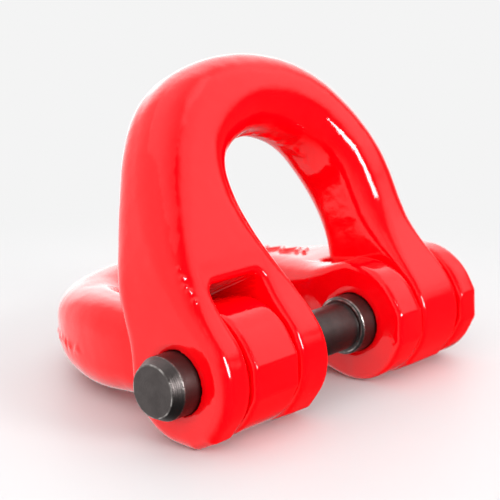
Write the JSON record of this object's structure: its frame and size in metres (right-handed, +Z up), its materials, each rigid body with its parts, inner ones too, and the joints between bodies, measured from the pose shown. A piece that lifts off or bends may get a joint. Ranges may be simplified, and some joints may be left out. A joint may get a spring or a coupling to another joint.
{
  "type": "chain connecting link",
  "caption": "Coupling link for lifting chain: two identical forged half links, each with a fork and a tongue, hinged together on one load pin.",
  "frame": {"origin": "middle of the link, on the axis of the four eyes, halfway between the two outer faces", "axes": "+X along the load pin, +Y the way the lying half link's crown points, +Z up"},
  "size_m": [0.0878, 0.0729, 0.0676],
  "materials": {
    "red_enamel": "glossy red enamel over a forged surface",
    "blackened_steel": "blackened turned steel, worn bright along its edges"
  },
  "bodies": {
    "lying_half": {"lying_half_link": "red_enamel"},
    "upright_half": {"upright_half_link": "red_enamel"},
    "pin": {"load_pin": "blackened_steel"}
  },
  "joints": [
    {"name": "link_hinge", "type": "hinge", "parent": "lying_half", "child": "upright_half", "pos_m": [0, 0, 0], "axis": [1, 0, 0], "range_deg": [0, 226]},
    {"name": "pin_slide", "type": "slide", "parent": "lying_half", "child": "pin", "axis": [1, 0, 0], "range_m": [-0.0796, 0.088]}
  ]
}
